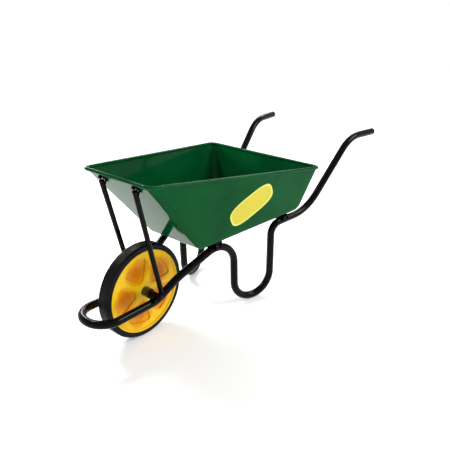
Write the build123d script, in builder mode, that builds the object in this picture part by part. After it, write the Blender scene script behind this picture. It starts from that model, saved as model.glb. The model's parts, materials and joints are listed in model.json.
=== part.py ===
from build123d import *
import math
import os

# Builder's wheelbarrow. Millimetres, +X towards the wheel, +Y to the barrow's left, +Z up.
# The origin is on the floor, under the middle of the barrow's length.

# ---- driving dimensions -------------------------------------------------------------
axle_x = 506.4            # axle, from the middle of the length
wheel_radius = 193.2
tube_r = 16.0             # frame tube, 32 mm outside
tube_wall = 2.0
sheet = 1.6               # pan sheet steel
bead_r = 6.5              # rolled edge round the pan's rim
stay_r = 10.0
stay_wall = 1.6
axle_r = 8.0
running_gap = 0.05        # radial, bush on axle
snug_gap = 0.03           # radial, axle in its clamps
side_gap = 0.3            # between turning and fixed faces

# ---- the frame tube's route, left side: where its straight runs would meet ----------
grip_end = Vector(axle_x - 1288, 298.5, 626)
handle_bend = Vector(axle_x - 1104, 276, 631)
rear_corner = Vector(axle_x - 812, 239, 341)
leg_top = Vector(axle_x - 577, 206, 334)
leg_back = Vector(axle_x - 580, 206, tube_r)
leg_front = Vector(axle_x - 398, 150, tube_r)
arch = Vector(axle_x - 386, 150, 353)
knee = Vector(axle_x - 105, 94.5, 232)
axle_bend = Vector(axle_x - 5, 75, 166)
loop_corner = Vector(axle_x + 264, 82, 178)

handle_joint_at = 0.64    # share of the way from the rear corner to the leg's top
front_joint_at = 0.62     # share of the way from the arch to the knee
handle_joint = rear_corner + (leg_top - rear_corner) * handle_joint_at
front_joint = arch + (knee - arch) * front_joint_at

handle_radii = [165, 230]
leg_radii = [50, 95, 95, 98]
loop_radii = [300, 60, 78]
route_tolerance = 0.01    # a swept tube's volume against its section times its length

# ---- handle end plugs ---------------------------------------------------------------
plug_cap = 3.0
plug_edge_r = 2.0
plug_spigot = 22.0

# ---- the pan: corners of its outer faces --------------------------------------------
rim_front = Vector(axle_x + 87, 174, 676)
rim_back = Vector(axle_x - 785, 310, 564)
floor_front = Vector(axle_x - 195, 145, 330)
floor_back = Vector(axle_x - 735, 254, 368)
floor_front_r = 45.0
floor_back_r = 50.0
pan_corner_r = 30.0
pan_reach = 420.0         # longer than the pan's half width

# ---- fasteners ----------------------------------------------------------------------
m8_shank_r = 4.0
m8_hole_r = 4.3
m8_nut_flats = 13.0
m8_nut_height = 6.5
m8_washer_r = 8.0
m8_washer_height = 1.6
m8_head_r = 9.5
m8_head_height = 4.5
m8_head_taper = 35.0      # degrees
thread_end = 3.0          # bolt left standing past its nut

# ---- cross bearers under the pan ----------------------------------------------------
bearer_wall = 3.0
bearer_width = 36.0
bearer_overhang = 22.0    # past the frame tube's centre
front_bearer_x = axle_x - 290
front_bearer_tube_y = 132.0
front_bearer_height = 30.0
front_bolt_y = 80.0
rear_bearer_x = axle_x - 648
rear_bearer_tube_y = 216.0
rear_bearer_height = 18.0
rear_bolt_y = 130.0

# ---- stays --------------------------------------------------------------------------
stay_y = 89.0
stay_top_from_rim = 31.0  # measured down the front panel
stay_top_stand_off = 12.0  # stay's centreline in front of the panel
stay_foot = Vector(axle_x - 31, 83, 184)
stay_cap = 3.0
lug_width = 34.0
lug_thick = 3.0
lug_from_rim = 9.0
lug_length = 42.0
lug_bolt_from_rim = 17.5
lug_corner_r = 6.0
gusset_thick = 5.0

# ---- axle and wheel -----------------------------------------------------------------
clamp_inner_y = 61.0
clamp_outer_y = 92.0
clamp_r = 15.0
clamp_foot_rise = 7.0     # the clamp's foot, above the frame tube's centre
axle_washer_r = 15.0
axle_washer_height = 3.0
axle_nut_flats = 24.0
axle_nut_height = 13.0
axle_end_y = 112.0
axle_chamfer = 1.5

hub_r = 20.0
hub_half_length = 50.0
bush_r = 13.0
bush_length = 20.0
bush_flange_r = 17.0
bush_flange = 3.0

tyre_half_width = 26.0
tread_corner_r = 8.0
rim_radius = 166.0        # where the tyre sits on the rim band
rim_wall = 2.0
rim_lip_r = 170.0
disc_outer_y = 20.0
disc_wall = 2.0
pocket_depth = 8.0
pocket_count = 5
pocket_first_angle = -1.0
pocket_inner_r = 46.0
pocket_outer_r = 139.0
pocket_half_angle = 27.0
pocket_taper = 0.55       # the pocket's inner end is this much of its outer angle
pocket_corner_r = 12.0

wheel_axis = Vector(axle_x, 0, wheel_radius)


def flipped(point):
    return Vector(point.X, -point.Y, point.Z)


def on_side(points, side):
    """The same points for the left side (1), mirrored for the right side (-1)."""
    return [p if side > 0 else flipped(p) for p in points]


def save(part, name):
    part.label = name
    export_step(part, "parts/" + name + ".step")


# ---- frame tube ---------------------------------------------------------------------
def tube_along(corners, radii, bore_r=tube_r - tube_wall):
    """Round tube swept along straight runs joined by arcs, or a solid bar if bore_r is 0."""
    with BuildPart() as tube:
        with BuildLine() as route:
            FilletPolyline(*corners, radius=radii)
        with BuildSketch(Plane(origin=route.line @ 0, z_dir=route.line % 0)):
            Circle(tube_r)
            if bore_r:
                Circle(bore_r, mode=Mode.SUBTRACT)
        sweep()
    length = sum(edge.length for edge in route.edges())
    expected = math.pi * (tube_r**2 - bore_r**2) * length
    if abs(tube.part.volume / expected - 1) > route_tolerance:
        raise ValueError("the tube does not follow its whole route")
    return tube.part


def handle_corners(side):
    return on_side([grip_end, handle_bend, rear_corner, handle_joint], side)


def leg_corners(side):
    return on_side([handle_joint, leg_top, leg_back, leg_front, arch, front_joint], side)


def loop_tube(bore_r=tube_r - tube_wall):
    """The loop round the wheel: its left half, down to the middle of the front, and its mirror."""
    front_middle = Vector(loop_corner.X, 0, loop_corner.Z)
    corners = [front_joint, knee, axle_bend, loop_corner, front_middle]
    with BuildPart() as loop:
        add(tube_along(corners, loop_radii, bore_r))
        mirror(about=Plane.XZ)
    return loop.part


def end_plug(side):
    """Plastic plug that closes a handle's end: a rounded cap on a spigot."""
    end, inner = on_side([grip_end, handle_bend], side)
    outward = (end - inner).normalized()
    with BuildPart() as plug:
        with BuildSketch(Plane(origin=end, z_dir=outward)):
            Circle(tube_r)
        extrude(amount=plug_cap)
        outer_edge = plug.edges().sort_by(lambda e: (e.center() - inner).length)[-1]
        fillet(outer_edge, plug_edge_r)
        with BuildSketch(Plane(origin=end, z_dir=-outward)):
            Circle(tube_r - tube_wall)
        extrude(amount=plug_spigot)
    return plug.part


# ---- pan ----------------------------------------------------------------------------
def side_plane(side):
    """Outer face of one side: through both rim corners and the front corner of the floor."""
    a, b, c = on_side([rim_front, rim_back, floor_front], side)
    normal = (b - a).cross(c - a).normalized()
    if normal.Y * side < 0:
        normal = -normal
    return Plane(origin=a, z_dir=normal)


def pan_block():
    """The pan's outer form as one solid: a bent sheet's profile between two leaning sides."""
    with BuildPart() as block:
        with BuildSketch(Plane.XZ.offset(-pan_reach)):
            with BuildLine():
                sheet_line = FilletPolyline(
                    (rim_front.X, rim_front.Z),
                    (floor_front.X, floor_front.Z),
                    (floor_back.X, floor_back.Z),
                    (rim_back.X, rim_back.Z),
                    radius=[floor_front_r, floor_back_r],
                )
                Line(sheet_line @ 1, sheet_line @ 0)
            make_face()
        extrude(amount=2 * pan_reach)
        for side in (1, -1):
            split(bisect_by=side_plane(side), keep=Keep.BOTTOM)
        for side in (1, -1):
            panel = block.faces().sort_by(Axis.Y)[-1 if side > 0 else 0]
            seam = panel.edges().sort_by(SortBy.LENGTH)[:-1]
            fillet(seam, pan_corner_r)
    return block.part


def rim_face(block):
    return block.faces().sort_by(Axis.Z)[-1]


def floor_plane(x, y):
    """Plane on the floor's outer face at x, y, its normal pointing up into the pan."""
    slope = (floor_back.Z - floor_front.Z) / (floor_back.X - floor_front.X)
    along = Vector(1, 0, slope).normalized()
    height = floor_front.Z + slope * (x - floor_front.X)
    return Plane(origin=(x, y, height), x_dir=along, z_dir=along.cross(Vector(0, 1, 0)))


def front_plane(y, from_rim):
    """Plane on the front panel's outer face, its normal pointing forwards and down."""
    edge = Vector(rim_front.X, y, rim_front.Z)
    down = Vector(floor_front.X - rim_front.X, 0, floor_front.Z - rim_front.Z).normalized()
    return Plane(origin=edge + down * from_rim, x_dir=(0, 1, 0), z_dir=down.cross(Vector(0, 1, 0)))


def pan_bolt_planes():
    places = [(front_bearer_x, front_bolt_y), (rear_bearer_x, rear_bolt_y)]
    return [floor_plane(x, side * y) for x, y in places for side in (1, -1)]


def stay_bolt_planes():
    return [front_plane(side * stay_y, lug_bolt_from_rim) for side in (1, -1)]


def pan(block):
    """Open steel tray with bolt holes through its floor and its front panel."""
    with BuildPart() as tray:
        add(block)
        offset(amount=-sheet, openings=rim_face(tray.part))
        for plane in pan_bolt_planes() + stay_bolt_planes():
            with BuildSketch(plane):
                Circle(m8_hole_r)
            extrude(amount=2 * sheet, both=True, mode=Mode.SUBTRACT)
    return tray.part


def pan_bead(block, tray):
    """Rolled edge: a round bead that the tray's upper edge runs into."""
    rim = rim_face(block).outer_wire()
    with BuildPart() as bead:
        with BuildSketch(Plane(origin=rim @ 0, z_dir=rim % 0)):
            Circle(bead_r)
        sweep(path=rim)
        add(tray, mode=Mode.SUBTRACT)
    return bead.part


# ---- bearers and stays --------------------------------------------------------------
def bearer(x, tube_y, height, bolt_y, tubes):
    """Folded channel, open downwards, its flanges cut to sit over both frame tubes."""
    top = floor_plane(x, 0)
    section = Plane(origin=top.origin, x_dir=top.x_dir, z_dir=(0, -1, 0))
    with BuildPart() as channel:
        with BuildSketch(section):
            with Locations((0, -height / 2)):
                Rectangle(bearer_width, height)
            with Locations((0, -bearer_wall - height / 2)):
                Rectangle(bearer_width - 2 * bearer_wall, height, mode=Mode.SUBTRACT)
        extrude(amount=tube_y + bearer_overhang, both=True)
        for tube in tubes:
            add(tube, mode=Mode.SUBTRACT)
        for side in (1, -1):
            with BuildSketch(floor_plane(x, side * bolt_y)):
                Circle(m8_hole_r)
            extrude(amount=2 * bearer_wall, both=True, mode=Mode.SUBTRACT)
    return channel.part


def stay(side, tube):
    """Tube from the frame up to a lug on the pan's front panel, joined to it by a gusset."""
    y = side * stay_y
    top = front_plane(y, stay_top_from_rim).offset(stay_top_stand_off).origin
    foot = on_side([stay_foot], side)[0]
    up = (top - foot).normalized()
    lug_face = front_plane(y, lug_from_rim + lug_length / 2)
    lug_low = front_plane(y, lug_from_rim + lug_length).offset(lug_thick / 2).origin
    gusset_low = top - up * lug_length
    with BuildPart() as bar:
        with BuildSketch(Plane(origin=foot, z_dir=up)):
            Circle(stay_r)
        extrude(amount=(top - foot).length)
        with BuildSketch(Plane(origin=(0, y, 0), x_dir=(1, 0, 0), z_dir=(0, -1, 0))):
            with BuildLine():
                Polyline((top.X, top.Z), (lug_low.X, lug_low.Z), (gusset_low.X, gusset_low.Z),
                         close=True)
            make_face()
        extrude(amount=gusset_thick / 2, both=True)
        with BuildSketch(lug_face):
            RectangleRounded(lug_width, lug_length, lug_corner_r)
        extrude(amount=lug_thick)
        with BuildSketch(Plane(origin=foot, z_dir=up)):
            Circle(stay_r - stay_wall)
        extrude(amount=(top - foot).length - stay_cap, mode=Mode.SUBTRACT)
        add(tube, mode=Mode.SUBTRACT)
        with BuildSketch(front_plane(y, lug_bolt_from_rim)):
            Circle(m8_hole_r)
        extrude(amount=2 * lug_thick, both=True, mode=Mode.SUBTRACT)
    return bar.part


# ---- fasteners ----------------------------------------------------------------------
def cup_head_bolts(planes, grip):
    """Domed heads on the planes' upper side of the sheet, shanks going down through grip."""
    length = grip + m8_washer_height + m8_nut_height + thread_end
    with BuildPart() as bolts:
        for plane in planes:
            with BuildSketch(plane):
                Circle(m8_head_r)
            extrude(amount=m8_head_height, taper=m8_head_taper)
            with BuildSketch(plane):
                Circle(m8_shank_r)
            extrude(amount=-length)
    return bolts.part


def washers(planes, radius, hole_r, height):
    with BuildPart() as rings:
        for plane in planes:
            with BuildSketch(plane):
                Circle(radius)
                Circle(hole_r, mode=Mode.SUBTRACT)
            extrude(amount=height)
    return rings.part


def hex_nuts(planes, flats, hole_r, height):
    with BuildPart() as nuts:
        for plane in planes:
            with BuildSketch(plane):
                RegularPolygon(flats / 2, 6, major_radius=False)
                Circle(hole_r, mode=Mode.SUBTRACT)
            extrude(amount=height)
    return nuts.part


def flipped_over(planes, depth):
    """The planes moved down by depth and turned over, for parts under a bolted joint."""
    return [
        Plane(origin=p.origin - p.z_dir * depth, x_dir=p.x_dir, z_dir=-p.z_dir)
        for p in planes
    ]


def axle_end_planes(y):
    """Upright planes across the axle at +y and -y, facing outwards."""
    return [
        Plane(origin=(axle_x, side * y, wheel_radius), x_dir=(1, 0, 0), z_dir=(0, side, 0))
        for side in (1, -1)
    ]


# ---- axle ---------------------------------------------------------------------------
def axle():
    with BuildPart() as rod:
        with BuildSketch(axle_end_planes(axle_end_y)[0]):
            Circle(axle_r)
        extrude(amount=-2 * axle_end_y)
        chamfer(rod.edges().filter_by(GeomType.CIRCLE), axle_chamfer)
    return rod.part


def axle_clamp(side, tube):
    """Block on the frame tube with a round top and a bore for the axle."""
    plane = axle_end_planes(clamp_inner_y)[0 if side > 0 else 1]
    foot = wheel_radius - axle_bend.Z - clamp_foot_rise
    with BuildPart() as block:
        with BuildSketch(plane):
            Circle(clamp_r)
            with Locations((0, -foot / 2 * plane.y_dir.Z)):
                Rectangle(2 * clamp_r, foot)
            Circle(axle_r + snug_gap, mode=Mode.SUBTRACT)
        extrude(amount=clamp_outer_y - clamp_inner_y)
        add(tube, mode=Mode.SUBTRACT)
    return block.part


# ---- wheel --------------------------------------------------------------------------
def turned(points):
    """Solid of revolution about the axle from (radius, y) points."""
    with BuildPart() as body:
        with BuildSketch(Plane(origin=wheel_axis, x_dir=(1, 0, 0), z_dir=(0, 0, 1))):
            with BuildLine():
                Polyline(*points, close=True)
            make_face()
        revolve(axis=Axis(wheel_axis, (0, 1, 0)))
    return body.part


def tyre():
    """Solid rubber tyre: narrow between the rim's lips, rounded at the tread."""
    lip_y = tyre_half_width - rim_wall
    w, r = tyre_half_width, wheel_radius
    with BuildPart() as rubber:
        with BuildSketch(Plane(origin=wheel_axis, x_dir=(1, 0, 0), z_dir=(0, 0, 1))) as section:
            with BuildLine():
                Polyline(
                    (rim_radius, -lip_y), (rim_radius, lip_y), (rim_lip_r, lip_y),
                    (rim_lip_r, w), (r, w), (r, -w), (rim_lip_r, -w), (rim_lip_r, -lip_y),
                    close=True,
                )
            make_face()
            fillet(section.vertices().group_by(Axis.X)[-1], tread_corner_r)
        revolve(axis=Axis(wheel_axis, (0, 1, 0)))
    return rubber.part


def rim_band():
    w = tyre_half_width
    inner = rim_radius - rim_wall
    return turned([
        (inner, -w), (inner, w), (rim_lip_r, w), (rim_lip_r, w - rim_wall),
        (rim_radius, w - rim_wall), (rim_radius, rim_wall - w), (rim_lip_r, rim_wall - w),
        (rim_lip_r, -w),
    ])


def pocket_outline(inset=0.0):
    """One pressed pocket of the disc: a sector with rounded corners, as a sketch at angle 0."""
    narrow = pocket_half_angle * pocket_taper
    a = Vector(pocket_inner_r, 0).rotate(Axis.Z, -narrow)
    b = Vector(pocket_outer_r, 0).rotate(Axis.Z, -pocket_half_angle)
    c = Vector(pocket_outer_r, 0).rotate(Axis.Z, pocket_half_angle)
    d = Vector(pocket_inner_r, 0).rotate(Axis.Z, narrow)
    with BuildSketch() as outline:
        with BuildLine():
            Line(a, b)
            ThreePointArc(b, (pocket_outer_r, 0), c)
            Line(c, d)
            Line(d, a)
        make_face()
        fillet(outline.vertices(), pocket_corner_r)
        if inset:
            offset(amount=-inset, mode=Mode.REPLACE)
    return outline.sketch


def wheel_disc(side):
    """Pressed disc: flat face with five sector pockets sunk towards the wheel's middle."""
    face = Plane(
        origin=(axle_x, side * disc_outer_y, wheel_radius), x_dir=(1, 0, 0), z_dir=(0, side, 0)
    )
    angles = [pocket_first_angle + i * 360 / pocket_count for i in range(pocket_count)]
    outline = pocket_outline()
    inner = pocket_outline(disc_wall)
    with BuildPart() as disc:
        with BuildSketch(face):
            Circle(rim_radius - rim_wall)
        extrude(amount=-disc_wall)
        with BuildSketch(face):
            for angle in angles:
                add(outline.rotate(Axis.Z, -angle * side))
        extrude(amount=-pocket_depth)
        with BuildSketch(face):
            for angle in angles:
                add(inner.rotate(Axis.Z, -angle * side))
        extrude(amount=-(pocket_depth - disc_wall), mode=Mode.SUBTRACT)
        with BuildSketch(face):
            Circle(hub_r)
        extrude(amount=-disc_wall, mode=Mode.SUBTRACT)
    return disc.part


def hub():
    y = hub_half_length
    return turned([(bush_r, -y), (bush_r, y), (hub_r, y), (hub_r, -y)])


def bush(side):
    """Flanged bush in one end of the hub."""
    bore = axle_r + running_gap
    y = side * hub_half_length
    tail = y - side * bush_length
    rim = y + side * bush_flange
    return turned([
        (bore, tail), (bush_r, tail), (bush_r, y), (bush_flange_r, y), (bush_flange_r, rim),
        (bore, rim),
    ])


def build():
    os.makedirs("parts", exist_ok=True)
    sides = {"left": 1, "right": -1}
    bars = {
        name: tube_along(leg_corners(side), leg_radii, bore_r=0) for name, side in sides.items()
    }
    rear_bars = {
        name: tube_along(handle_corners(side), handle_radii, bore_r=0)
        for name, side in sides.items()
    }
    loop_bar = loop_tube(bore_r=0)

    for name, side in sides.items():
        save(tube_along(handle_corners(side), handle_radii), name + "_handle_tube")
        save(tube_along(leg_corners(side), leg_radii), name + "_leg_tube")
        save(end_plug(side), name + "_end_plug")
        save(stay(side, loop_bar), name + "_stay")
        save(axle_clamp(side, loop_bar), name + "_axle_clamp")
        save(wheel_disc(side), name + "_wheel_disc")
        save(bush(side), name + "_hub_bush")
    save(loop_tube(), "front_loop_tube")

    block = pan_block()
    tray = pan(block)
    save(tray, "pan")
    save(pan_bead(block, tray), "pan_rolled_edge")

    front_tubes = list(bars.values())
    rear_tubes = front_tubes + list(rear_bars.values())
    save(bearer(front_bearer_x, front_bearer_tube_y, front_bearer_height, front_bolt_y, front_tubes),
         "front_pan_bearer")
    save(bearer(rear_bearer_x, rear_bearer_tube_y, rear_bearer_height, rear_bolt_y, rear_tubes),
         "rear_pan_bearer")

    pan_bolt_seats = pan_bolt_planes()
    pan_grip = bearer_wall
    heads = [p.offset(sheet) for p in pan_bolt_seats]
    save(cup_head_bolts(heads, sheet + pan_grip), "pan_bolts")
    under = flipped_over(pan_bolt_seats, pan_grip)
    save(washers(under, m8_washer_r, m8_hole_r, m8_washer_height), "pan_bolt_washers")
    nut_planes = flipped_over(pan_bolt_seats, pan_grip + m8_washer_height)
    save(hex_nuts(nut_planes, m8_nut_flats, m8_shank_r, m8_nut_height), "pan_bolt_nuts")

    stay_seats = stay_bolt_planes()
    inside = [p.offset(-sheet) for p in stay_seats]
    inside = flipped_over(inside, 0)
    save(cup_head_bolts(inside, sheet + lug_thick), "stay_bolts")
    outside = [p.offset(lug_thick) for p in stay_seats]
    save(washers(outside, m8_washer_r, m8_hole_r, m8_washer_height), "stay_bolt_washers")
    nut_planes = [p.offset(lug_thick + m8_washer_height) for p in stay_seats]
    save(hex_nuts(nut_planes, m8_nut_flats, m8_shank_r, m8_nut_height), "stay_bolt_nuts")

    save(axle(), "axle")
    save(washers(axle_end_planes(clamp_outer_y), axle_washer_r, axle_r + snug_gap,
                 axle_washer_height), "axle_washers")
    save(hex_nuts(axle_end_planes(clamp_outer_y + axle_washer_height), axle_nut_flats,
                  axle_r, axle_nut_height), "axle_nuts")
    spacer_y = hub_half_length + bush_flange + side_gap
    save(washers(axle_end_planes(spacer_y), bush_r, axle_r + snug_gap, clamp_inner_y - spacer_y),
         "axle_spacers")

    save(tyre(), "tyre")
    save(rim_band(), "wheel_rim")
    save(hub(), "wheel_hub")


build()
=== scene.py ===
import bpy
import bmesh
import json
import math
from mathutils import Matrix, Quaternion, Vector
from mathutils.bvhtree import BVHTree


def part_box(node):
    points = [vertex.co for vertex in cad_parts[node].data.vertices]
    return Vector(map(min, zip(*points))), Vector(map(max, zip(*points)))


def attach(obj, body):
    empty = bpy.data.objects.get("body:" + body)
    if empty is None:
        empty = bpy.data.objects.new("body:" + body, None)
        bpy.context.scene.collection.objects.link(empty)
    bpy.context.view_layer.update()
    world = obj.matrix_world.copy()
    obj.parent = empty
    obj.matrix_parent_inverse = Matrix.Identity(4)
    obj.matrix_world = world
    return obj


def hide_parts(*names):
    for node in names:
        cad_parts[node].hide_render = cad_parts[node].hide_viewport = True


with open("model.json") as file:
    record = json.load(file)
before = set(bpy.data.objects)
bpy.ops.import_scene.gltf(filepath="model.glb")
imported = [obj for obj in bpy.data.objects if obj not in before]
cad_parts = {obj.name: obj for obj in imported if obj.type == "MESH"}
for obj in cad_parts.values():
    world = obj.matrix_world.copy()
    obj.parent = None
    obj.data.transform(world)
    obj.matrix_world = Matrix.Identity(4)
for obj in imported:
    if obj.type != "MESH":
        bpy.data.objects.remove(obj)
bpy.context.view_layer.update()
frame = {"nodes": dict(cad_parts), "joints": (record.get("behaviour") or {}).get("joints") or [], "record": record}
nodes = frame["nodes"]

# ---- where things are, from the frame -------------------------------------------------
WHEEL = Vector(frame["joints"][0]["pos_m"])
TYRE_LOW, TYRE_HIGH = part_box("tyre")
WHEEL_R = (TYRE_HIGH.z - TYRE_LOW.z) / 2
TYRE_HALF = (TYRE_HIGH.y - TYRE_LOW.y) / 2
RIM_LOW, RIM_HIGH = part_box("wheel_rim")
RIM_R = (RIM_HIGH.z - RIM_LOW.z) / 2
PAN_LOW, PAN_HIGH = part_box("pan")

# ---- camera: chosen between two fitted viewpoints --------------------------------------
CAMERA_AT = Vector((1.7170, 1.4253, 1.2820))
CAMERA_TO = Vector((-0.0056, 0.0, 0.2956))
CAMERA_LENS = 43.31                # millimetres, on the sensor below
CAMERA_SENSOR = 36.0
CAMERA_ROLL = math.radians(0.2)


# ---- node material helpers -------------------------------------------------------------
MIX_FIRST, MIX_SECOND, MIX_RESULT = 6, 7, 2     # a Mix node's sockets for colours


class Paint:
    """A material whose nodes are made one by one, with object coordinates ready."""

    def __init__(self, name):
        self.material = bpy.data.materials.new(name)
        self.material.use_nodes = True
        self.tree = self.material.node_tree
        self.shader = self.tree.nodes["Principled BSDF"]
        self.place = self.node("ShaderNodeTexCoord").outputs["Object"]

    def node(self, kind, **settings):
        made = self.tree.nodes.new(kind)
        for key, value in settings.items():
            setattr(made, key, value)
        return made

    def link(self, source, target):
        self.tree.links.new(source, target)

    def noise(self, scale, detail=4.0, stretch=None):
        made = self.node("ShaderNodeTexNoise")
        made.inputs["Scale"].default_value = scale
        made.inputs["Detail"].default_value = detail
        place = self.place
        if stretch:
            mapping = self.node("ShaderNodeMapping")
            mapping.inputs["Scale"].default_value = stretch
            self.link(place, mapping.inputs["Vector"])
            place = mapping.outputs["Vector"]
        self.link(place, made.inputs["Vector"])
        return made.outputs["Fac"]

    def ramp(self, source, low, high, at=(0.0, 1.0)):
        """Maps the span between the two values in at onto low to high, and clamps it."""
        made = self.node("ShaderNodeMapRange")
        made.inputs["From Min"].default_value = at[0]
        made.inputs["From Max"].default_value = at[1]
        made.inputs["To Min"].default_value = low
        made.inputs["To Max"].default_value = high
        self.link(source, made.inputs["Value"])
        return made.outputs["Result"]

    def mix(self, factor, first, second):
        """Blends two colours; either may be a colour or a socket."""
        made = self.node("ShaderNodeMix", data_type="RGBA")
        self.link(factor, made.inputs["Factor"])
        for index, value in ((MIX_FIRST, first), (MIX_SECOND, second)):
            if isinstance(value, tuple):
                made.inputs[index].default_value = (*value, 1.0)
            else:
                self.link(value, made.inputs[index])
        return made.outputs[MIX_RESULT]

    def bump(self, height, strength, distance):
        made = self.node("ShaderNodeBump")
        made.inputs["Strength"].default_value = strength
        made.inputs["Distance"].default_value = distance
        self.link(height, made.inputs["Height"])
        self.link(made.outputs["Normal"], self.shader.inputs["Normal"])

    def colour(self, source):
        self.link(source, self.shader.inputs["Base Color"])

    def roughness(self, source):
        self.link(source, self.shader.inputs["Roughness"])

    def set(self, **values):
        """Plain numbers on the shader's own sockets, such as Coat_Weight=0.02."""
        for name, value in values.items():
            self.shader.inputs[name.replace("_", " ")].default_value = value


def enamel(name, deep, light, rough=(0.10, 0.22), coat=0.6, specular=0.5):
    """Gloss enamel over steel: faint patches of tone, orange peel and hairline scuffs."""
    paint = Paint(name)
    patches = paint.ramp(paint.noise(6.0), 0.0, 1.0, at=(0.35, 0.65))
    body = paint.mix(patches, deep, light)
    scuffs = paint.noise(60.0, detail=8.0, stretch=(1.0, 0.25, 3.0))
    worn = paint.ramp(scuffs, 0.0, 0.35, at=(0.66, 0.78))
    paler = tuple(min(1.0, channel * 1.6 + 0.02) for channel in light)
    paint.colour(paint.mix(worn, body, paler))
    paint.roughness(paint.ramp(scuffs, *rough, at=(0.3, 0.8)))
    paint.bump(paint.noise(260.0, detail=2.0), 0.08, 0.0004)
    paint.set(Coat_Weight=coat, Coat_Roughness=0.06, Specular_IOR_Level=specular)
    return paint.material


# Each pocket's painted shade is an oval in radius and angle about the wheel's centre.
POCKETS = 5
POCKET_TURN = 2 * math.pi / POCKETS
POCKET_FIRST = math.radians(-1.0)
POCKET_MIDDLE_R = 0.094
POCKET_REACH_OUT = 0.056
POCKET_REACH_ROUND = math.radians(33.0)
POCKET_UNEVEN = 0.22
POCKET_SHADE_FADE = (0.35, 0.85)    # where the painted shade's burnt orange turns to amber
POCKET_EDGE_FADE = (0.92, 1.14)    # where the painted shade's amber turns to the face's yellow


def wheel_enamel_and_pocket_shade():
    """Yellow disc with painted shade: burnt orange painted towards the middle of each pressed pocket, standing for
    shade in the recess.
    """
    paint = Paint("wheel_enamel_and_pocket_shade")
    centred = paint.node("ShaderNodeVectorMath", operation="SUBTRACT")
    centred.inputs[1].default_value = WHEEL
    paint.link(paint.place, centred.inputs[0])
    split = paint.node("ShaderNodeSeparateXYZ")
    paint.link(centred.outputs["Vector"], split.inputs["Vector"])

    def calculate(operation, *values):
        made = paint.node("ShaderNodeMath", operation=operation)
        for socket, value in zip(made.inputs, values):
            if isinstance(value, float):
                socket.default_value = value
            else:
                paint.link(value, socket)
        return made.outputs[0]

    x, z = split.outputs["X"], split.outputs["Z"]
    radius = calculate("SQRT", calculate("ADD", calculate("MULTIPLY", x, x),
                                         calculate("MULTIPLY", z, z)))
    angle = calculate("ARCTAN2", z, x)
    shifted = calculate("ADD", angle, 2 * math.pi - POCKET_FIRST + POCKET_TURN / 2)
    local = calculate("SUBTRACT", calculate("MODULO", shifted, POCKET_TURN), POCKET_TURN / 2)
    out = calculate("DIVIDE", calculate("SUBTRACT", radius, POCKET_MIDDLE_R), POCKET_REACH_OUT)
    around = calculate("DIVIDE", local, POCKET_REACH_ROUND)
    away = calculate("SQRT", calculate("ADD", calculate("MULTIPLY", out, out),
                                       calculate("MULTIPLY", around, around)))
    patches = paint.noise(22.0, detail=5.0)
    uneven = calculate("ADD", away, paint.ramp(patches, -POCKET_UNEVEN, POCKET_UNEVEN))
    # Painted shade: the deep and amber oranges stand for shade inside each pocket; the face is the disc's own
    # yellow.
    deep = paint.mix(patches, (0.56, 0.14, 0.0005), (0.74, 0.23, 0.001))
    pocket_half_shade = paint.mix(patches, (0.82, 0.34, 0.001), (0.90, 0.42, 0.002))
    face = paint.mix(patches, (0.92, 0.54, 0.010), (1.0, 0.66, 0.020))
    pocket_painted_shade = paint.mix(paint.ramp(uneven, 0.0, 1.0, at=POCKET_SHADE_FADE), deep, pocket_half_shade)
    paint.colour(paint.mix(paint.ramp(uneven, 0.0, 1.0, at=POCKET_EDGE_FADE), pocket_painted_shade, face))
    paint.roughness(paint.ramp(paint.noise(70.0), 0.16, 0.34))
    paint.bump(paint.noise(240.0, detail=2.0), 0.08, 0.0004)
    paint.set(Coat_Weight=0.04, Coat_Roughness=0.08, Specular_IOR_Level=0.16)
    return paint.material


def rubber():
    """Black rubber with a faint dusty bloom and fine moulding grain."""
    paint = Paint("tyre_rubber")
    dust = paint.ramp(paint.noise(14.0, detail=6.0), 0.0, 1.0, at=(0.45, 0.75))
    paint.colour(paint.mix(dust, (0.001, 0.001, 0.002), (0.004, 0.004, 0.007)))
    paint.roughness(paint.ramp(dust, 0.42, 0.68))
    paint.bump(paint.noise(900.0, detail=3.0), 0.25, 0.0003)
    paint.set(Specular_IOR_Level=0.16)
    return paint.material


def zinc():
    """Zinc plated steel: cloudy plating with fine lines."""
    paint = Paint("zinc_plate")
    tone = (0.62, 0.63, 0.66)
    cloud = paint.noise(90.0, detail=5.0)
    darker = tuple(channel * 0.75 for channel in tone)
    paint.colour(paint.mix(cloud, darker, tone))
    paint.roughness(paint.ramp(cloud, 0.24, 0.46))
    paint.bump(paint.noise(700.0, detail=2.0, stretch=(1.0, 8.0, 1.0)), 0.12, 0.0002)
    paint.set(Metallic=1.0)
    return paint.material


def plastic():
    """Moulded black plastic with a fine grain."""
    paint = Paint("black_plastic")
    grain = paint.noise(500.0, detail=3.0)
    paint.colour(paint.mix(grain, (0.012, 0.012, 0.013), (0.022, 0.022, 0.023)))
    paint.roughness(paint.ramp(grain, 0.38, 0.55))
    paint.bump(grain, 0.2, 0.0003)
    return paint.material


GLOW_NEAR = 0.27
GLOW_FAR = 0.50
GLOW_FROM = 0.9                    # metres from the middle of the object
GLOW_TO = 2.6


def pale_floor():
    """Matt white, lit from within a little more with distance, so that it has no horizon."""
    paint = Paint("pale_floor")
    paint.colour(paint.mix(paint.noise(3.0), (0.93, 0.93, 0.93), (0.95, 0.95, 0.95)))
    paint.roughness(paint.ramp(paint.noise(20.0), 0.75, 0.85))
    paint.set(Emission_Color=(1.0, 1.0, 1.0, 1.0), Specular_IOR_Level=0.1)
    away = paint.node("ShaderNodeVectorMath", operation="LENGTH")
    paint.link(paint.place, away.inputs[0])
    glow = paint.ramp(away.outputs["Value"], GLOW_NEAR, GLOW_FAR, at=(GLOW_FROM, GLOW_TO))
    paint.link(glow, paint.shader.inputs["Emission Strength"])
    return paint.material


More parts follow.
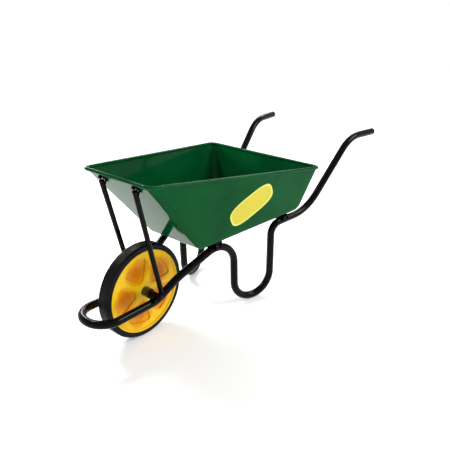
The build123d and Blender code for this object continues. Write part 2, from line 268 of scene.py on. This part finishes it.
black = enamel(
    "black_enamel", (0.0006, 0.0006, 0.0006), (0.0015, 0.0015, 0.0015),
    rough=(0.14, 0.26), coat=0.02, specular=0.10,
)
green = enamel(
    "green_enamel", (0.001, 0.062, 0.015), (0.002, 0.088, 0.023),
    rough=(0.05, 0.11), coat=0.02, specular=0.045,
)
moulded = plastic()
looks = {
    "frame_tube": black,
    "black_paint": black,
    "pan_paint": green,
    "black_plastic": moulded,
    "zinc": zinc(),
    "tyre_rubber": rubber(),
    "wheel_paint": wheel_enamel_and_pocket_shade(),
    "hub_paint": enamel("hub_enamel", (0.006, 0.006, 0.006), (0.012, 0.012, 0.012)),
    "bush_plastic": moulded,
}


# ---- mesh helpers ----------------------------------------------------------------------
def dress(piece, slot_name):
    """The look of a slot in the record, as the piece's only material."""
    piece.data.materials.clear()
    piece.data.materials.append(looks[slot_name])


def smooth(piece, angle=35.0):
    """Smooth shading, with edges sharper than the angle left crisp."""
    for polygon in piece.data.polygons:
        polygon.use_smooth = True
    piece.data.set_sharp_from_angle(angle=math.radians(angle))


def new_piece(name, vertices, faces, body, slot_name, angle=35.0):
    """A new mesh object, facing outwards, dressed and riding on a body."""
    mesh = bpy.data.meshes.new(name)
    mesh.from_pydata([tuple(v) for v in vertices], [], faces)
    made = bmesh.new()
    made.from_mesh(mesh)
    bmesh.ops.recalc_face_normals(made, faces=made.faces)
    made.to_mesh(mesh)
    made.free()
    piece = bpy.data.objects.new(name, mesh)
    bpy.context.scene.collection.objects.link(piece)
    dress(piece, slot_name)
    smooth(piece, angle)
    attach(piece, body)
    return piece


def surface(name):
    """Ray-castable copy of a CAD node's surface."""
    mesh = nodes[name].data
    polygons = [tuple(p.vertices) for p in mesh.polygons]
    return BVHTree.FromPolygons([v.co for v in mesh.vertices], polygons)


def across(direction):
    """Two unit vectors square to the direction and to each other."""
    helper = Vector((0, 1, 0)) if abs(direction.y) < 0.9 else Vector((1, 0, 0))
    u = direction.cross(helper).normalized()
    return u, direction.cross(u).normalized()


# ---- tyre: ribbed tread and moulded sidewalls ------------------------------------------
TREAD_GROOVES = (-0.0135, -0.0045, 0.0045, 0.0135)
GROOVE_HALF = 0.0013
GROOVE_DEPTH = 0.0022
TREAD_CORNER = 0.008
TREAD_CORNER_STEPS = 6
AROUND = 192
SIDEWALL = (                       # height over the rim's edge, depth below the tyre's face
    (-0.004, 0.0025), (0.0, 0.0025), (0.0005, 0.0006), (0.003, 0.0),
    (0.006, 0.0), (0.0075, 0.001), (0.009, 0.001), (0.0105, 0.0),
)


def tyre_section():
    """Outline of the tyre's section, (radius, y), from the left bead over to the right."""
    side = [(RIM_R + height, TYRE_HALF - depth) for height, depth in SIDEWALL]
    for i in range(TREAD_CORNER_STEPS + 1):
        turn = math.pi / 2 * i / TREAD_CORNER_STEPS
        side.append((WHEEL_R - TREAD_CORNER + TREAD_CORNER * math.sin(turn),
                     TYRE_HALF - TREAD_CORNER + TREAD_CORNER * math.cos(turn)))
    low = WHEEL_R - GROOVE_DEPTH
    tread = []
    for y in TREAD_GROOVES[::-1]:
        tread += [(WHEEL_R, y + GROOVE_HALF), (low, y + GROOVE_HALF * 0.5)]
        tread += [(low, y - GROOVE_HALF * 0.5), (WHEEL_R, y - GROOVE_HALF)]
    return side + tread + [(r, -y) for r, y in side[::-1]]


def revolved(name, section, body, slot_name):
    """Closed ring: the section turned all the way round the wheel's axis."""
    count = len(section)
    vertices = []
    for i in range(AROUND):
        turn = 2 * math.pi * i / AROUND
        for r, y in section:
            offset = Vector((r * math.cos(turn), y, r * math.sin(turn)))
            vertices.append(WHEEL + offset)
    faces = []
    for i in range(AROUND):
        j = (i + 1) % AROUND
        for k in range(count):
            m = (k + 1) % count
            faces.append((i * count + k, i * count + m, j * count + m, j * count + k))
    return new_piece(name, vertices, faces, body, slot_name)


tread = revolved("ribbed_tyre", tyre_section(), "wheel", "tyre_rubber")
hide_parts("tyre")


# ---- welds -----------------------------------------------------------------------------
WELD_R = 0.0028
WELD_RIPPLE = 0.0005
WELD_RIPPLE_EVERY = 4              # points along the bead
WELD_SIDES = 8
WELD_STEPS = 48
WELD_ANGLE = 60.0
STAY_R = 0.010
STAY_RUN = (0.06, 0.25)            # two heights over a stay's foot, on its straight run
CAST_FROM = 0.10
CLAMP_INSET = 0.004


def weld(name, route, closed):
    """Rippled bead along a route of points, with its ends capped unless it is closed."""
    count = len(route)
    vertices = []
    for i, point in enumerate(route):
        after = route[(i + 1) % count] if closed else route[min(i + 1, count - 1)]
        before = route[i - 1] if closed else route[max(i - 1, 0)]
        u, v = across((after - before).normalized())
        radius = WELD_R + WELD_RIPPLE * math.sin(2 * math.pi * i / WELD_RIPPLE_EVERY)
        for k in range(WELD_SIDES):
            turn = 2 * math.pi * k / WELD_SIDES
            vertices.append(point + radius * (math.cos(turn) * u + math.sin(turn) * v))
    faces = []
    for i in range(count if closed else count - 1):
        j = (i + 1) % count
        for k in range(WELD_SIDES):
            m = (k + 1) % WELD_SIDES
            faces.append((i * WELD_SIDES + k, i * WELD_SIDES + m,
                          j * WELD_SIDES + m, j * WELD_SIDES + k))
    if not closed:
        faces.append(tuple(range(WELD_SIDES)))
        faces.append(tuple((count - 1) * WELD_SIDES + k for k in range(WELD_SIDES)))
    return new_piece(name, vertices, faces, "barrow", "black_paint", WELD_ANGLE)


def middle_at(name, z):
    """Middle of a node's level cross-section at the height z."""
    mesh = nodes[name].data
    cut = []
    for edge in mesh.edges:
        a, b = (mesh.vertices[i].co for i in edge.vertices)
        if (a.z - z) * (b.z - z) < 0:
            cut.append(a.lerp(b, (z - a.z) / (b.z - a.z)))
    low = Vector(min(p[i] for p in cut) for i in range(3))
    high = Vector(max(p[i] for p in cut) for i in range(3))
    return (low + high) / 2


def stay_weld(side):
    """Ring where a stay lands on the frame tube."""
    name = side + "_stay"
    loop = surface("front_loop_tube")
    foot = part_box(name)[0].z
    lower, upper = (middle_at(name, foot + height) for height in STAY_RUN)
    down = (lower - upper).normalized()
    u, v = across(down)
    route = []
    for i in range(WELD_STEPS):
        turn = 2 * math.pi * i / WELD_STEPS
        rim = STAY_R * (math.cos(turn) * u + math.sin(turn) * v)
        hit = loop.ray_cast(lower + rim, down, CAST_FROM)[0]
        if hit is not None:
            route.append(hit)
    return weld(side + "_stay_weld", route, closed=True)


def clamp_weld(side, end):
    """Straight bead along one foot of an axle clamp, over the frame tube's crown."""
    loop = surface("front_loop_tube")
    low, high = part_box(side + "_axle_clamp")
    x = high.x if end == "front" else low.x
    steps = WELD_STEPS // 2
    route = []
    for i in range(steps + 1):
        y = low.y + CLAMP_INSET + (high.y - low.y - 2 * CLAMP_INSET) * i / steps
        hit = loop.ray_cast(Vector((x, y, WHEEL.z + CAST_FROM)), Vector((0, 0, -1)))[0]
        if hit is not None:
            route.append(hit)
    return weld(side + "_clamp_weld_" + end, route, closed=False)


for side in ("left", "right"):
    stay_weld(side)
    for end in ("front", "rear"):
        clamp_weld(side, end)


# ---- plain decal on the near side of the tray -------------------------------------------
DECAL_ALONG = 0.42615              # its middle, as fractions of the tray's box from the rear
DECAL_UP = 0.43100
DECAL_LONG = 0.112                 # half its length and half its height
DECAL_SHORT = 0.056
DECAL_TILT = math.radians(28.0)
DECAL_THICK = 0.0003
DECAL_SQUARENESS = 3.2             # exponent of the outline: 2 is an ellipse, more is squarer
DECAL_POINTS = 96
DECAL_EDGE_ANGLE = 30.0
BORDER_WIDTH = 0.008
BORDER_LIFT = 0.0004               # over the paint
FIELD_LIFT = 0.0008
CAST_SIDE = 1.0
CAST_BESIDE = 0.1
INWARDS = Vector((0, -1, 0))


def decal_outline(grow):
    """Closed outline in the decal's own plane."""
    power = 2 / DECAL_SQUARENESS
    points = []
    for i in range(DECAL_POINTS):
        turn = 2 * math.pi * i / DECAL_POINTS
        c, s = math.cos(turn), math.sin(turn)
        a = (DECAL_LONG + grow) * math.copysign(abs(c) ** power, c)
        b = (DECAL_SHORT + grow) * math.copysign(abs(s) ** power, s)
        points.append((a, b))
    return points


def decal(name, grow, lift, slot_name):
    """Thin rounded label that lies flat on the tray's left panel."""
    panel = surface("pan")
    x = PAN_LOW.x + DECAL_ALONG * (PAN_HIGH.x - PAN_LOW.x)
    z = PAN_LOW.z + DECAL_UP * (PAN_HIGH.z - PAN_LOW.z)
    start = Vector((x, CAST_SIDE, z))
    middle, normal = panel.ray_cast(start, INWARDS)[:2]
    if normal.y < 0:
        normal = -normal
    beside = panel.ray_cast(start - Vector((CAST_BESIDE, 0, 0)), INWARDS)[0]
    backwards = (beside - middle).normalized()
    upwards = normal.cross(backwards)
    if upwards.z < 0:
        upwards = -upwards
    long_axis = backwards * math.cos(DECAL_TILT) + upwards * math.sin(DECAL_TILT)
    short_axis = normal.cross(long_axis)
    vertices = []
    for height in (lift, lift + DECAL_THICK):
        for a, b in decal_outline(grow):
            vertices.append(middle + a * long_axis + b * short_axis + height * normal)
    count = DECAL_POINTS
    faces = [tuple(range(count)), tuple(range(2 * count - 1, count - 1, -1))]
    for i in range(count):
        j = (i + 1) % count
        faces.append((i, j, count + j, count + i))
    return new_piece(name, vertices, faces, "barrow", slot_name, DECAL_EDGE_ANGLE)


def decal_ink(name, deep, light):
    """Printed vinyl: even ink, slightly mottled, with a soft gloss."""
    paint = Paint(name)
    mottle = paint.noise(120.0, detail=5.0)
    paint.colour(paint.mix(mottle, deep, light))
    paint.roughness(paint.ramp(mottle, 0.28, 0.44))
    paint.bump(paint.noise(500.0, detail=2.0), 0.1, 0.0002)
    return paint.material


border = decal("decal_border", 0.0, BORDER_LIFT, "pan_paint")
border.data.materials[0] = decal_ink(
    "decal_border_ink", (0.72, 0.74, 0.10), (0.80, 0.82, 0.16)
)
centre = decal("decal_field", -BORDER_WIDTH, FIELD_LIFT, "pan_paint")
centre.data.materials[0] = decal_ink(
    "decal_field_ink", (0.62, 0.52, 0.010), (0.72, 0.62, 0.016)
)


# ---- stage -----------------------------------------------------------------------------
FLOOR_HALF = 120.0
FLOOR_CELLS = 8
HORIZON_TOP = 0.05                 # heights on the sky's unit sphere
OVERHEAD_FROM = 0.55
HORIZON_LIGHT = 1.0
OVERHEAD_LIGHT = 0.48
LIGHTS = (                         # name, place, target, size, watts
    ("key", (-1.9, 2.3, 2.6), (0.0, 0.0, 0.3), (1.3, 1.3), 70),
    ("floor_card", (0.1, -1.1, 0.9), (0.05, -0.6, 0.0), (0.6, 0.4), 14),
    ("tray_card", (0.42, -1.13, 2.02), (-0.2, 0.0, 0.5), (0.45, 0.18), 14),
    ("back_strip", (-2.6, -1.2, 2.2), (-0.2, 0.0, 0.45), (1.8, 0.5), 35),
)


def floor():
    made = bmesh.new()
    bmesh.ops.create_grid(
        made, x_segments=FLOOR_CELLS, y_segments=FLOOR_CELLS, size=FLOOR_HALF
    )
    mesh = bpy.data.meshes.new("studio_floor")
    made.to_mesh(mesh)
    made.free()
    piece = bpy.data.objects.new("studio_floor", mesh)
    bpy.context.scene.collection.objects.link(piece)
    piece.data.materials.append(pale_floor())


def area_light(name, place, target, size, power):
    data = bpy.data.lights.new(name, "AREA")
    data.shape = "RECTANGLE"
    data.size, data.size_y = size
    data.energy = power
    lamp = bpy.data.objects.new(name, data)
    lamp.location = place
    aim = Vector(target) - Vector(place)
    lamp.rotation_euler = aim.to_track_quat("-Z", "Y").to_euler()
    bpy.context.scene.collection.objects.link(lamp)


def world_light():
    """White round the horizon, where the floor meets it, and dimmer grey overhead."""
    world = bpy.data.worlds.new("studio")
    world.use_nodes = True
    tree = world.node_tree
    background = tree.nodes["Background"]
    place = tree.nodes.new("ShaderNodeTexCoord")
    split = tree.nodes.new("ShaderNodeSeparateXYZ")
    fade = tree.nodes.new("ShaderNodeMapRange")
    fade.inputs["From Min"].default_value = HORIZON_TOP
    fade.inputs["From Max"].default_value = OVERHEAD_FROM
    fade.inputs["To Min"].default_value = HORIZON_LIGHT
    fade.inputs["To Max"].default_value = OVERHEAD_LIGHT
    tree.links.new(place.outputs["Generated"], split.inputs["Vector"])
    tree.links.new(split.outputs["Z"], fade.inputs["Value"])
    tree.links.new(fade.outputs["Result"], background.inputs["Strength"])
    background.inputs["Color"].default_value = (1.0, 1.0, 1.0, 1.0)
    bpy.context.scene.world = world


def camera():
    data = bpy.data.cameras.new("camera")
    data.lens = CAMERA_LENS
    data.sensor_width = CAMERA_SENSOR
    shot = bpy.data.objects.new("camera", data)
    shot.location = CAMERA_AT
    aim = (CAMERA_TO - CAMERA_AT).to_track_quat("-Z", "Y")
    shot.rotation_mode = "QUATERNION"
    shot.rotation_quaternion = aim @ Quaternion((0, 0, 1), CAMERA_ROLL)
    bpy.context.scene.collection.objects.link(shot)
    bpy.context.scene.camera = shot


floor()
world_light()
for light in LIGHTS:
    area_light(*light)
camera()
bpy.context.scene.view_settings.view_transform = "Standard"


# ---- every carried-over CAD node gets its material -------------------------------------
BEVELS = {                         # radius of the hard edges, in metres
    "left_axle_clamp": 0.0015, "right_axle_clamp": 0.0015,
    "left_stay": 0.0006, "right_stay": 0.0006,
    "front_pan_bearer": 0.0010, "rear_pan_bearer": 0.0010,
    "axle_nuts": 0.0010, "axle_washers": 0.0005,
    "stay_bolt_nuts": 0.0006, "pan_bolt_nuts": 0.0006,
}
BEVEL_ANGLE = math.radians(40.0)


def soften(piece, width):
    """Rounds a node's hard edges by a small radius, as a modifier."""
    bevel = piece.modifiers.new("edge_radius", "BEVEL")
    bevel.width = width
    bevel.segments = 2
    bevel.limit_method = "ANGLE"
    bevel.angle_limit = BEVEL_ANGLE
    bevel.use_clamp_overlap = True


for part in frame["record"]["subparts"]:
    piece = nodes[part["node"]]
    dress(piece, part["material_slot"])
    if part["node"] in BEVELS:
        soften(piece, BEVELS[part["node"]])
